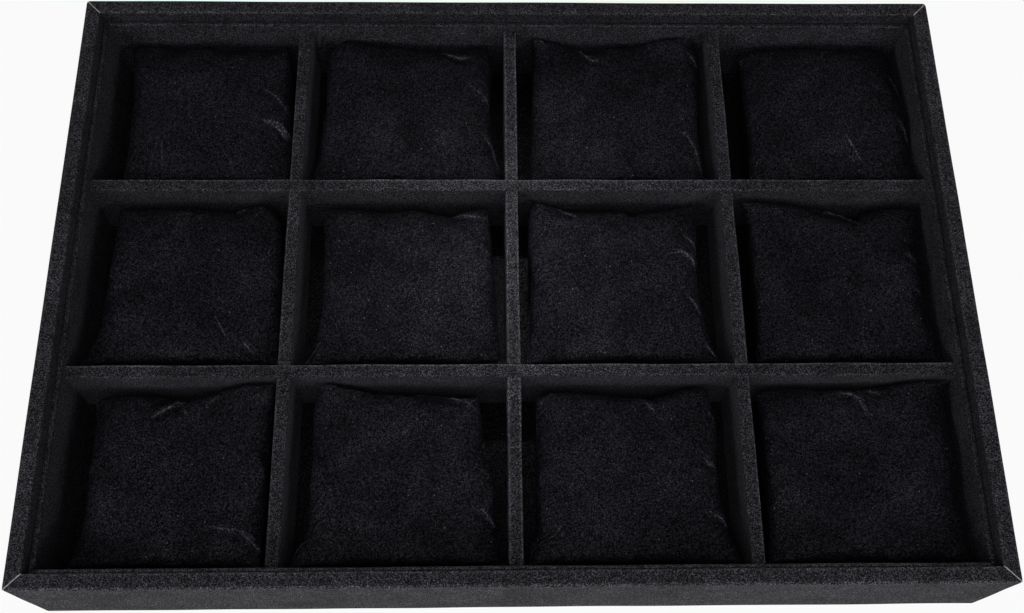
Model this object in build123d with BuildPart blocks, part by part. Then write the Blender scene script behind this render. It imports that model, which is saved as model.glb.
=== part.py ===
"""Velvet jewelry display tray: a wrapped frame, an egg-crate divider set and twelve loose pillows.

Millimetres, +Z up, +X along the tray's width and +Y to its back. The origin is on the surface that the
tray stands on, under the middle of its plan.
"""
from build123d import *

import os

os.makedirs("parts", exist_ok=True)

# Overall size
tray_width = 350.0
tray_depth = 241.0
tray_height = 46.0

# Thicknesses of the sheet goods
velvet = 0.5
wall_board = 5.0
base_board = 3.0
underside_sheet = 0.6
floor_card = 1.5
liner_card = 1.4
divider_board = 4.0

# How far the inner edges stand below the rim
liner_drop = 5.5
long_divider_drop = 8.6
cross_divider_drop = 9.1

# Clear space between dividers, in the middle of the tray
middle_column_width = 80.7
middle_row_depth = 73.0

# Rounded edges of the boards under the velvet and of the tray's upright corners, and the least flat
# that stays on a board's top between its two rounded edges
wall_edge_round = 0.5
divider_edge_round = 1.9
corner_round = 0.8
least_top_flat = 0.1

# Turn-over of the liner's velvet behind its card, and the mitres' reach into the tray
liner_turn_over = 10.0
mitre_reach = 20.0

# Play between pieces that fit together
base_play = 0.1
slot_play = 0.2
divider_end_play = 0.1

# Pillows: gaps to the cell, drawn-in edges and heights above the pillow's own underside
pillow_side_gap = 1.2
pillow_end_gap = 1.6
pillow_floor_gap = 0.3
pillow_back_draw_in = 4.5
pillow_side_bow = 2.6
pillow_front_bow = 2.2
pillow_back_bow = 1.2
pucker_offset = 10.0
pucker_depth = 5.5
seam_front_height = 11.0
seam_back_height = 23.0
pillow_height = 28.0
seam_allowance = 1.5
filling_play = 0.2

# Shape of a pillow between its levels: sizes against the sewn edge's, and how far the edges swell out
crown_levels = 5
crown_taper = 1.4
crown_top_share = 0.16
crown_top_tilt = 3.0
belly_share = 0.93
belly_swell = 0.3
belly_height = 4.5
sole_share = 0.82
sole_swell = 0.7

# Rows of cells, from the front
row_names = ("front", "middle", "back")

# Heights that follow
base_top = underside_sheet + base_board
floor_card_top = base_top + floor_card
floor_top = floor_card_top + velvet
liner_top = tray_height - liner_drop
long_divider_top = tray_height - long_divider_drop
cross_divider_top = tray_height - cross_divider_drop
lap_height = (floor_top + min(long_divider_top, cross_divider_top)) / 2

# Plan sizes that follow
wall_thickness = wall_board + 2 * velvet
liner_thickness = liner_card + 2 * velvet
liner_inset = wall_thickness + liner_thickness
divider_thickness = divider_board + 2 * velvet
well_width = tray_width - 2 * liner_inset
well_depth = tray_depth - 2 * liner_inset
column_pitch = middle_column_width + divider_thickness
row_pitch = middle_row_depth + divider_thickness
outer_column_width = (well_width - 2 * column_pitch - divider_thickness) / 2
outer_row_depth = (well_depth - row_pitch - divider_thickness) / 2

# Places of the dividers and of the cells' centres
cross_divider_x = (-column_pitch, 0.0, column_pitch)
long_divider_y = (-row_pitch / 2, row_pitch / 2)
outer_cell_x = column_pitch + (divider_thickness + outer_column_width) / 2
outer_cell_y = (row_pitch + divider_thickness + outer_row_depth) / 2
cell_x = (-outer_cell_x, -column_pitch / 2, column_pitch / 2, outer_cell_x)
cell_y = (-outer_cell_y, 0.0, outer_cell_y)


def save(builder, name):
    """Label a finished piece and write it to its own file."""
    builder.part.label = name
    export_step(builder.part, f"parts/{name}.step")


def side_frame(side, inset):
    """Plane across one side of the tray at its first corner, and the length of that side.

    The plane's x points into the tray, its y up and its z along the side, anticlockwise in plan.
    """
    half_width = tray_width / 2 - inset
    half_depth = tray_depth / 2 - inset
    starts = {
        "front": ((-half_width, -half_depth, 0), (0, 1, 0), (1, 0, 0), 2 * half_width),
        "right": ((half_width, -half_depth, 0), (-1, 0, 0), (0, 1, 0), 2 * half_depth),
        "back": ((half_width, half_depth, 0), (0, -1, 0), (-1, 0, 0), 2 * half_width),
        "left": ((-half_width, half_depth, 0), (1, 0, 0), (0, -1, 0), 2 * half_depth),
    }
    corner, inwards, along, length = starts[side]
    return Plane(origin=corner, x_dir=inwards, z_dir=along), length


def mitre_mask(side, inset):
    """Block that holds what lies between the two mitres of one side."""
    across, length = side_frame(side, inset)
    corners = (
        (0, 0),
        (length, 0),
        (length - mitre_reach, mitre_reach),
        (mitre_reach, mitre_reach),
    )
    plan = Plane(origin=across.origin, x_dir=across.z_dir, z_dir=(0, 0, 1))
    with BuildPart() as mask:
        with BuildSketch(plan):
            Polygon(*corners, align=None)
        extrude(amount=tray_height)
    return mask.part


def rounded_plan(inset, radius):
    """Block of the tray's plan, drawn in by an inset, with its upright corners rounded."""
    with BuildPart() as block:
        with BuildSketch():
            RectangleRounded(tray_width - 2 * inset, tray_depth - 2 * inset, radius)
        extrude(amount=tray_height)
    return block.part


def upright_board(thickness, bottom, top, round_top, start=0.0):
    """Section of a board on edge, its two top edges rounded; x runs across it and y up."""
    radius = min(round_top, (thickness - least_top_flat) / 2)
    with BuildSketch() as section:
        with Locations((start + thickness / 2, (bottom + top) / 2)):
            Rectangle(thickness, top - bottom)
        fillet(section.vertices().group_by(Axis.Y)[-1], radius=radius)
    return section.sketch


def velvet_around(board_section):
    """Section of a board and the velvet that goes all round it."""
    with BuildSketch() as covered:
        add(board_section)
        offset(amount=velvet, kind=Kind.ARC)
    return covered.sketch


# Underside: the felt paper, and the base board that the walls are glued to
panel_inset = wall_thickness - velvet + base_play
with BuildPart() as underside_cover:
    Box(
        tray_width - 2 * panel_inset,
        tray_depth - 2 * panel_inset,
        underside_sheet,
        align=(Align.CENTER, Align.CENTER, Align.MIN),
    )
save(underside_cover, "underside_cover")

with BuildPart() as base:
    with BuildSketch(Plane.XY.offset(underside_sheet)):
        Rectangle(tray_width - 2 * panel_inset, tray_depth - 2 * panel_inset)
    extrude(amount=base_board)
save(base, "base_board")

# Floor: a card laid on the base board and the velvet lining glued on it
for name, bottom, thickness in (
    ("floor_card", base_top, floor_card),
    ("floor_lining", floor_card_top, velvet),
):
    with BuildPart() as floor_sheet:
        with BuildSketch(Plane.XY.offset(bottom)):
            Rectangle(
                tray_width - 2 * (wall_thickness + base_play),
                tray_depth - 2 * (wall_thickness + base_play),
            )
        extrude(amount=thickness)
    save(floor_sheet, name)

# Walls and liners: a board inside a velvet wrap, and a card inside the liner's velvet
wall_section = upright_board(
    wall_board, velvet, tray_height - velvet, wall_edge_round, start=velvet
)
liner_section = upright_board(
    liner_card, floor_top, liner_top - velvet, liner_card / 2, start=velvet
)
for side in ("front", "right", "back", "left"):
    across, length = side_frame(side, 0.0)
    with BuildPart() as wall:
        with BuildSketch(across):
            add(wall_section)
        extrude(amount=length)
        add(mitre_mask(side, 0.0), mode=Mode.INTERSECT)
        add(rounded_plan(velvet, corner_round), mode=Mode.INTERSECT)
    save(wall, f"{side}_wall_board")

    with BuildPart() as wall_wrap:
        with BuildSketch(across):
            add(velvet_around(wall_section))
            add(wall_section, mode=Mode.SUBTRACT)
            with Locations((wall_thickness, 0)):
                Rectangle(2 * velvet, 2 * base_top, mode=Mode.SUBTRACT)
        extrude(amount=length)
        add(mitre_mask(side, 0.0), mode=Mode.INTERSECT)
        add(rounded_plan(0.0, corner_round + velvet), mode=Mode.INTERSECT)
    save(wall_wrap, f"{side}_wall_velvet")

    across, length = side_frame(side, wall_thickness)
    with BuildPart() as liner:
        with BuildSketch(across):
            add(liner_section)
        extrude(amount=length)
        add(mitre_mask(side, wall_thickness), mode=Mode.INTERSECT)
    save(liner, f"{side}_liner_card")

    with BuildPart() as liner_wrap:
        with BuildSketch(across):
            add(velvet_around(liner_section))
            add(liner_section, mode=Mode.SUBTRACT)
            with Locations((0, floor_top)):
                Rectangle(
                    4 * liner_thickness,
                    2 * velvet,
                    align=(Align.CENTER, Align.MAX),
                    mode=Mode.SUBTRACT,
                )
                Rectangle(
                    2 * velvet,
                    liner_top - liner_turn_over - floor_top,
                    align=(Align.CENTER, Align.MIN),
                    mode=Mode.SUBTRACT,
                )
        extrude(amount=length)
        add(mitre_mask(side, wall_thickness), mode=Mode.INTERSECT)
    save(liner_wrap, f"{side}_liner_velvet")


def divider_sections(top):
    """Sections of a divider's core and of its sleeve, centred on x = 0."""
    core = upright_board(
        divider_board, floor_top, top - velvet, divider_edge_round, start=-divider_board / 2
    )
    with BuildSketch() as sleeve:
        add(velvet_around(core))
        add(core, mode=Mode.SUBTRACT)
        with Locations((0, floor_top)):
            Rectangle(
                2 * divider_thickness,
                2 * velvet,
                align=(Align.CENTER, Align.MAX),
                mode=Mode.SUBTRACT,
            )
    return {"core": core, "velvet": sleeve.sketch}


# Dividers: the long ones are slotted from below, the cross ones from above
slot_width = divider_thickness + slot_play
slot_reach = 2 * divider_thickness
for name, y in zip(("front", "back"), long_divider_y):
    length = well_width - 2 * divider_end_play
    across = Plane(origin=(-length / 2, y, 0), x_dir=(0, 1, 0), z_dir=(1, 0, 0))
    for layer, section in divider_sections(long_divider_top).items():
        with BuildPart() as long_divider:
            with BuildSketch(across):
                add(section)
            extrude(amount=length)
            with BuildSketch(Plane.XY.offset(lap_height + slot_play / 2)):
                with Locations(*[(x, y) for x in cross_divider_x]):
                    Rectangle(slot_width, slot_reach)
            extrude(amount=-tray_height, mode=Mode.SUBTRACT)
        save(long_divider, f"{name}_long_divider_{layer}")

for name, x in zip(("left", "centre", "right"), cross_divider_x):
    length = well_depth - 2 * divider_end_play
    across = Plane(origin=(x, -length / 2, 0), x_dir=(-1, 0, 0), z_dir=(0, 1, 0))
    for layer, section in divider_sections(cross_divider_top).items():
        with BuildPart() as cross_divider:
            with BuildSketch(across):
                add(section)
            extrude(amount=length)
            with BuildSketch(Plane.XY.offset(lap_height - slot_play / 2)):
                with Locations(*[(x, y) for y in long_divider_y]):
                    Rectangle(slot_reach, slot_width)
            extrude(amount=tray_height, mode=Mode.SUBTRACT)
        save(cross_divider, f"{name}_cross_divider_{layer}")

# Pillows: plan of the sewn edge, from the smallest cell, and its slope up to the back
pillow_half_width = min(middle_column_width, outer_column_width) / 2 - pillow_side_gap
pillow_half_depth = min(middle_row_depth, outer_row_depth) / 2 - pillow_end_gap
seam_height = (seam_front_height + seam_back_height) / 2
seam_slope = Vector(2 * pillow_half_depth, 0, seam_back_height - seam_front_height)
seam_tilt = Vector(1, 0, 0).get_angle(seam_slope)


def pillow_level(height, tilt, share, swell, inset):
    """Outline of a pillow on one level: five arcs between four corners and the back pucker.

    share is the level's size against the sewn edge's, and swell runs from 0, where the edges are
    drawn in as the seam's are, to 1, where they are as much rounded out.
    """
    front = pillow_half_width * share - inset
    back = (pillow_half_width - pillow_back_draw_in) * share - inset
    reach = pillow_half_depth * share - inset
    bow = share * (1 - 2 * swell)
    depth = pucker_depth * share * (1 - swell)
    pucker = (pucker_offset * share, reach - depth)
    waist = (front + back) / 2 - pillow_side_bow * bow
    rise = pillow_back_bow * share
    with BuildSketch(Plane.XY.offset(height).rotated((tilt, 0, 0))) as level:
        with BuildLine():
            ThreePointArc((-front, -reach), (0, -reach + pillow_front_bow * bow), (front, -reach))
            ThreePointArc((front, -reach), (waist, 0), (back, reach))
            for corner in (back, -back):
                middle = (corner + pucker[0]) / 2
                ThreePointArc((corner, reach), (middle, reach - depth / 2 + rise), pucker)
            ThreePointArc((-back, reach), (-waist, 0), (-front, -reach))
        make_face()
    return level.sketch


def pillow_form(skin, edge):
    """Stuffed pillow, drawn in by a skin all round and by an edge along its seam."""
    seam = pillow_level(seam_height, seam_tilt, 1.0, 0.0, edge)
    belly_tilt = seam_tilt * belly_height / seam_height
    belly = pillow_level(belly_height + skin, belly_tilt, belly_share, belly_swell, skin)
    sole = pillow_level(skin, 0.0, sole_share, sole_swell, skin)
    crown = [seam]
    rise = pillow_height - seam_height - skin
    for step in range(1, crown_levels + 1):
        share = 1 - (1 - crown_top_share) * (step / crown_levels) ** crown_taper
        lift = rise * (1 - (step / crown_levels - 1) ** 2) ** 0.5
        tilt = seam_tilt + (crown_top_tilt - seam_tilt) * step / crown_levels
        crown.append(pillow_level(seam_height + lift, tilt, share, step / crown_levels, skin))
    with BuildPart() as form:
        loft(sections=[sole, belly, seam])
        loft(sections=crown)
    return form.part


pillow_outside = pillow_form(0.0, 0.0)
pillow_inside = pillow_form(velvet, seam_allowance)
pillow_filling = pillow_form(velvet + filling_play, seam_allowance + filling_play)
for row, y in zip(row_names, cell_y):
    for column, x in enumerate(cell_x, start=1):
        place = Location((x, y, floor_top + pillow_floor_gap))
        with BuildPart() as pillow_cover:
            add(pillow_outside.moved(place))
            add(pillow_inside.moved(place), mode=Mode.SUBTRACT)
        save(pillow_cover, f"{row}_pillow_{column}_cover")
        with BuildPart() as filling:
            add(pillow_filling.moved(place))
        save(filling, f"{row}_pillow_{column}_filling")
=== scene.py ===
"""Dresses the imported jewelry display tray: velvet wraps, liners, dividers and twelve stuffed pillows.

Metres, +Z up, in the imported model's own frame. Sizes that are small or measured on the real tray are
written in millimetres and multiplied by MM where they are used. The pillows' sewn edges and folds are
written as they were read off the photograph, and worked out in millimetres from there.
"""
import logging
import math
from dataclasses import dataclass, replace
from enum import Enum

import bpy
import numpy as np
from mathutils import Matrix, Vector


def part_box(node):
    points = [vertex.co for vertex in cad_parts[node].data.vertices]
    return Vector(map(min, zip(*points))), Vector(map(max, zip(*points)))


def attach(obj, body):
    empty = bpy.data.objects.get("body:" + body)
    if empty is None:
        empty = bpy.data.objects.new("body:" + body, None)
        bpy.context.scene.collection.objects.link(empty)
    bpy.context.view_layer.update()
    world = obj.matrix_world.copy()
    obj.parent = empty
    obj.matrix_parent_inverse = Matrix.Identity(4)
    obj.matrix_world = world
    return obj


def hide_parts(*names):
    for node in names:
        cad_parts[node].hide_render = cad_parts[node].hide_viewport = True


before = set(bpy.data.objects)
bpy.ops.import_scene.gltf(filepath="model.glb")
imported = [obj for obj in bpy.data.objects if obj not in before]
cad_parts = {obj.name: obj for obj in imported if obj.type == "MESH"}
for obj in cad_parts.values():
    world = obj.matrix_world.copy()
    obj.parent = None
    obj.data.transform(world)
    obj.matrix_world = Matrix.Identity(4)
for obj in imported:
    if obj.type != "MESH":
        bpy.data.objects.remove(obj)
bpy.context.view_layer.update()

MM = 0.001
PER_METRE = 1 / MM
TRAY = "tray"
# Attribute names: painted sheen (or painted shade where negative) on rounded edges, and the painted
# highlight along pillow creases and sewn edges.
PAINTED_SHEEN = "painted_edge_sheen"
CREASE = "crease_offset"
PAINTED_HIGHLIGHT = "painted_crease_highlight"
SEAM_HEIGHT = 29.0
log = logging.getLogger("display_tray")


class Side(Enum):
    """The four sides of the tray, anticlockwise in plan."""

    FRONT = "front"
    RIGHT = "right"
    BACK = "back"
    LEFT = "left"


class Row(Enum):
    """The three rows of cells."""

    FRONT = "front"
    MIDDLE = "middle"
    BACK = "back"


def node_box(node: str) -> tuple[np.ndarray, np.ndarray]:
    """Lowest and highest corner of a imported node.

    Args:
        node: the node's name.

    Returns:
        The two corners in metres.
    """
    low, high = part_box(node)
    return np.array(low), np.array(high)


def ripple(points: np.ndarray, wavelength: float, seed: int, waves: int = 7) -> np.ndarray:
    """Smooth, uneven height over a surface, mostly between -1 and 1.

    Args:
        points: places on the surface, one row each.
        wavelength: about how far apart its crests are, in the points' unit.
        seed: number that fixes the pattern.
        waves: how many plane waves are added up.

    Returns:
        One height for each point.
    """
    shortest, longest = 0.7, 1.8
    random = np.random.default_rng(seed)
    directions = random.normal(size=(waves, 3))
    directions /= np.linalg.norm(directions, axis=1)[:, None]
    lengths = wavelength * random.uniform(shortest, longest, waves)
    phases = random.uniform(0, 2 * math.pi, waves)
    angles = points @ (directions.T * 2 * math.pi / lengths) + phases
    return np.sin(angles).sum(axis=1) / math.sqrt(waves)


def graded(length: float, near: float, far: float) -> np.ndarray:
    """Marks along a straight stretch, close together at its ends and wider in its middle.

    Args:
        length: the stretch's length.
        near: first step at each end.
        far: longest step.

    Returns:
        The marks, from 0 to the length.
    """
    growth = 1.6
    marks = [0.0]
    step = near
    while marks[-1] + step < length / 2:
        marks.append(marks[-1] + step)
        step = min(step * growth, far)
    return np.array(marks + [length - mark for mark in reversed(marks)])


def make_piece(
    name: str, points: np.ndarray, faces: list, finish: bpy.types.Material
) -> bpy.types.Object:
    """Mesh object with smooth faces, turned so that its normals point out.

    Args:
        name: the piece's name.
        points: corners in metres, one row each.
        faces: lists of corner numbers.
        finish: the piece's first material.

    Returns:
        The new object.
    """
    crease_angle = math.radians(50)
    mesh = bpy.data.meshes.new(name)
    mesh.from_pydata(points.tolist(), [], faces)
    quads = np.array([face for face in faces if len(face) == 4])
    first, second, third, fourth = (points[quads[:, i]] for i in range(4))
    volume = np.einsum("ij,ij->i", first + third, np.cross(third - first, fourth - second)).sum()
    if volume < 0:
        mesh.flip_normals()
    mesh.shade_smooth()
    mesh.set_sharp_from_angle(angle=crease_angle)
    mesh.materials.append(finish)
    piece = bpy.data.objects.new(name, mesh)
    bpy.context.scene.collection.objects.link(piece)
    return piece


def add_attribute(piece: bpy.types.Object, name: str, values: np.ndarray) -> None:
    """Store one number for each corner of a piece, for its material to read.

    Args:
        piece: the mesh object.
        name: the attribute's name.
        values: one number for each corner.
    """
    attribute = piece.data.attributes.new(name, "FLOAT", "POINT")
    attribute.data.foreach_set("value", values.astype(np.float32))


class NodeSheet:
    """A node tree that is filled with short calls."""

    def __init__(self, tree: bpy.types.NodeTree) -> None:
        """Start on an empty tree."""
        self.tree = tree
        self.tree.nodes.clear()

    def add(self, kind: str, values: dict | None = None, **settings: object) -> bpy.types.Node:
        """Add a node.

        Args:
            kind: the node's type without its ShaderNode prefix, or a full type name.
            values: sockets by name or number, each with a constant or another node's output.
            settings: the node's own properties.

        Returns:
            The node.
        """
        full = kind if kind.startswith("Node") else f"ShaderNode{kind}"
        node = self.tree.nodes.new(full)
        for key, value in settings.items():
            setattr(node, key, value)
        for key, value in (values or {}).items():
            self.feed(node.inputs[key], value)
        return node

    def feed(self, socket: bpy.types.NodeSocket, value: object) -> None:
        """Give a socket a value.

        Args:
            socket: the socket.
            value: a constant or another node's output.
        """
        if isinstance(value, bpy.types.NodeSocket):
            self.tree.links.new(value, socket)
        else:
            socket.default_value = value

    def math(self, operation: str, first: object, second: object = 0.0) -> bpy.types.NodeSocket:
        """Add a math node and return its result."""
        return self.add("Math", {0: first, 1: second}, operation=operation).outputs[0]

    def blend(self, share: object, first: object, second: object) -> bpy.types.NodeSocket:
        """Add a mix of two colours.

        Args:
            share: how much of the second colour is in it.
            first: the first colour.
            second: the second colour.

        Returns:
            The mixed colour.
        """
        values = {"Factor": share, "A": first, "B": second}
        node = self.add("Mix", None, data_type="RGBA", clamp_factor=True)
        for socket in node.inputs:
            if socket.name in values and socket.type in ("RGBA", "VALUE") and socket.enabled:
                self.feed(socket, values[socket.name])
        return next(socket for socket in node.outputs if socket.type == "RGBA" and socket.enabled)


def make_group(name: str, inputs: dict[str, float], outputs: tuple[str, ...]) -> tuple:
    """New node group with number sockets.

    Args:
        name: the group's name.
        inputs: input names with their usual values.
        outputs: output names.

    Returns:
        The group, its sheet, its input node and its output node.
    """
    group = bpy.data.node_groups.new(name, "ShaderNodeTree")
    for label, value in inputs.items():
        socket = group.interface.new_socket(name=label, in_out="INPUT", socket_type="NodeSocketFloat")
        socket.default_value = value
    for label in outputs:
        group.interface.new_socket(name=label, in_out="OUTPUT", socket_type="NodeSocketFloat")
    sheet = NodeSheet(group)
    return group, sheet, sheet.add("NodeGroupInput"), sheet.add("NodeGroupOutput")


def new_material(name: str) -> tuple[bpy.types.Material, NodeSheet]:
    """New material and the sheet of its nodes.

    Args:
        name: the material's name.

    Returns:
        The material and its sheet.
    """
    material = bpy.data.materials.new(name)
    material.use_nodes = True
    return material, NodeSheet(material.node_tree)


def velvet_pile_group() -> bpy.types.NodeTree:
    """Pile of a velvet: its speckle, the brushed patches of its nap and the lint that it catches.

    Returns:
        A group that puts out a shade to multiply a colour with, a height for a bump and a lint mask.
    """
    strand_density = 1.3
    strand_gain, strand_offset = 1.6, -0.3
    lint_density, lint_radius, lint_share = 420.0, 0.085, 0.3
    nap_height = 2.0
    inputs = {"Grain": 0.4, "Contrast": 2.0, "Nap": 14.0, "Nap Contrast": 0.5, "Lint": 0.5}
    group, sheet, given, made = make_group("velvet_pile", inputs, ("Shade", "Height", "Lint"))
    place = sheet.add("TexCoord").outputs["Object"]
    fine = sheet.math("DIVIDE", PER_METRE, given.outputs["Grain"])
    tufts = sheet.add("TexVoronoi", {"Vector": place, "Scale": fine}, feature="F1")
    tuft = sheet.add("SeparateColor", {0: tufts.outputs["Color"]}).outputs[0]
    strand_scale = sheet.math("MULTIPLY", fine, strand_density)
    strands = sheet.add("TexNoise", {"Vector": place, "Scale": strand_scale, "Detail": 1.0}).outputs[0]
    strands = sheet.math("MULTIPLY_ADD", strands, strand_gain)
    strands.node.inputs[2].default_value = strand_offset
    grain = sheet.math("MULTIPLY", sheet.math("ADD", tuft, strands), 0.5)
    centred = sheet.math("SUBTRACT", grain, 0.5)
    speckle = sheet.math("EXPONENT", sheet.math("MULTIPLY", centred, given.outputs["Contrast"]))
    broad = sheet.math("DIVIDE", PER_METRE, given.outputs["Nap"])
    brushed = sheet.add("TexNoise", {"Vector": place, "Scale": broad, "Detail": 4.0, "Distortion": 0.6})
    lean = sheet.math("SUBTRACT", brushed.outputs[0], 0.5)
    patches = sheet.math("EXPONENT", sheet.math("MULTIPLY", lean, given.outputs["Nap Contrast"]))
    specks = sheet.add("TexVoronoi", {"Vector": place, "Scale": lint_density}, feature="F1")
    rare = sheet.add("SeparateColor", {0: specks.outputs["Color"]}).outputs[1]
    chosen = sheet.math("LESS_THAN", rare, sheet.math("MULTIPLY", given.outputs["Lint"], lint_share))
    dot = sheet.math("LESS_THAN", specks.outputs["Distance"], lint_radius)
    height = sheet.math("ADD", grain, sheet.math("MULTIPLY", lean, nap_height))
    sheet.feed(made.inputs["Shade"], sheet.math("MULTIPLY", speckle, patches))
    sheet.feed(made.inputs["Height"], height)
    sheet.feed(made.inputs["Lint"], sheet.math("MULTIPLY", chosen, dot))
    return group


def fibre_group() -> bpy.types.NodeTree:
    """Fibres of board, card and felt paper.

    Returns:
        A group that puts out a shade to multiply a colour with, and a height for a bump.
    """
    stretch = (1.0, 0.35, 1.0)
    patch_share = 0.4
    middle_tone = 0.7
    inputs = {"Fibre": 1.2, "Contrast": 1.0, "Patch": 20.0}
    group, sheet, given, made = make_group("pressed_fibres", inputs, ("Shade", "Height"))
    place = sheet.add("TexCoord").outputs["Object"]
    stretched = sheet.add("Mapping", {"Vector": place, "Scale": stretch}).outputs[0]
    fine = sheet.math("DIVIDE", PER_METRE, given.outputs["Fibre"])
    strands = {"Vector": stretched, "Scale": fine, "Detail": 5.0, "Distortion": 1.5}
    fibres = sheet.add("TexNoise", strands).outputs[0]
    broad = sheet.math("DIVIDE", PER_METRE, given.outputs["Patch"])
    patch = sheet.add("TexNoise", {"Vector": place, "Scale": broad, "Detail": 3.0}).outputs[0]
    uneven = sheet.math("ADD", fibres, sheet.math("MULTIPLY", patch, patch_share))
    centred = sheet.math("SUBTRACT", uneven, middle_tone)
    shade = sheet.math("EXPONENT", sheet.math("MULTIPLY", centred, given.outputs["Contrast"]))
    sheet.feed(made.inputs["Shade"], shade)
    sheet.feed(made.inputs["Height"], uneven)
    return group


@dataclass(frozen=True)
class VelvetFinish:
    """Black velvet: a very dark body under a pile that shines at a low angle."""

    name: str
    color: tuple[float, float, float]
    sheen: float
    shine: float
    sheen_roughness: float = 0.30
    shine_roughness: float = 0.50
    sheen_tint: tuple[float, float, float] = (0.90, 0.88, 1.0)
    grain: float = 0.30
    contrast: float = 6.0
    nap: float = 14.0
    nap_contrast: float = 1.2
    lint: float = 0.4
    # Gain of the painted sheen along rounded edges.
    painted_light: float = 1.2
    # Width and gain of the painted highlight along pillow creases and sewn edges.
    line_width: float = 0.26
    highlight_gain: float = 3.6
    roughness: float = 0.7
    bump: float = 0.8
    bump_distance: float = 0.35 * MM
    lint_color: tuple[float, float, float, float] = (0.16, 0.16, 0.17, 1.0)

    def material(self, pile: bpy.types.NodeTree) -> bpy.types.Material:
        """Make the finish.

        Args:
            pile: the velvet's node group.

        Returns:
            The material.
        """
        material, sheet = new_material(self.name)
        amounts = {
            "Grain": self.grain,
            "Contrast": self.contrast,
            "Nap": self.nap,
            "Nap Contrast": self.nap_contrast,
            "Lint": self.lint,
        }
        effect = sheet.add("Group", amounts, node_tree=pile)
        # Painted light: painted sheen (or painted shade) on rounded edges and a painted highlight along
        # creases and sewn edges, both multiplying the colour.
        edge_light, offset, glow = (
            sheet.add("Attribute", None, attribute_name=name).outputs["Fac"]
            for name in (PAINTED_SHEEN, CREASE, PAINTED_HIGHLIGHT)
        )
        # Painted highlight along the nearest crease or sewn edge.
        near = sheet.math("DIVIDE", sheet.math("ABSOLUTE", offset), self.line_width)
        line = sheet.math("EXPONENT", sheet.math("MULTIPLY", sheet.math("POWER", near, 2.0), -1.0))
        line = sheet.math("MULTIPLY", sheet.math("MULTIPLY", line, glow), self.highlight_gain)
        painted_gain = sheet.math("ADD", sheet.math("ADD", sheet.math("MULTIPLY", edge_light, self.painted_light), line), 1.0)
        shade = sheet.math("MULTIPLY", effect.outputs["Shade"], painted_gain)
        body = sheet.add("VectorMath", {0: self.color, "Scale": shade}, operation="SCALE").outputs[0]
        height = {
            "Height": effect.outputs["Height"],
            "Strength": self.bump,
            "Distance": self.bump_distance,
        }
        shader = sheet.add(
            "BsdfPrincipled",
            {
                "Base Color": sheet.blend(effect.outputs["Lint"], body, self.lint_color),
                "Roughness": self.roughness,
                "Specular IOR Level": 0.0,
                "Sheen Weight": self.sheen,
                "Sheen Roughness": self.sheen_roughness,
                "Sheen Tint": (*self.sheen_tint, 1.0),
                "Coat Weight": sheet.math("MINIMUM", sheet.math("MULTIPLY", shade, self.shine), 1.0),
                "Coat Roughness": self.shine_roughness,
                "Normal": sheet.add("Bump", height).outputs[0],
            },
        )
        sheet.add("OutputMaterial", {"Surface": shader.outputs[0]})
        return material


@dataclass(frozen=True)
class FibreFinish:
    """Board, card or paper of pressed fibres."""

    name: str
    color: tuple[float, float, float]
    fibre: float
    contrast: float
    patch: float
    roughness: float = 0.9
    gloss: float = 0.25
    bump: float = 0.3
    bump_distance: float = 0.3 * MM

    def material(self, fibres: bpy.types.NodeTree) -> bpy.types.Material:
        """Make the finish.

        Args:
            fibres: the fibres' node group.

        Returns:
            The material.
        """
        material, sheet = new_material(self.name)
        amounts = {"Fibre": self.fibre, "Contrast": self.contrast, "Patch": self.patch}
        effect = sheet.add("Group", amounts, node_tree=fibres)
        shade = effect.outputs["Shade"]
        height = {
            "Height": effect.outputs["Height"],
            "Strength": self.bump,
            "Distance": self.bump_distance,
        }
        shader = sheet.add(
            "BsdfPrincipled",
            {
                "Base Color": sheet.add(
                    "VectorMath", {0: self.color, "Scale": shade}, operation="SCALE"
                ).outputs[0],
                "Roughness": self.roughness,
                "Specular IOR Level": self.gloss,
                "Normal": sheet.add("Bump", height).outputs[0],
            },
        )
        sheet.add("OutputMaterial", {"Surface": shader.outputs[0]})
        return material


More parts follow.
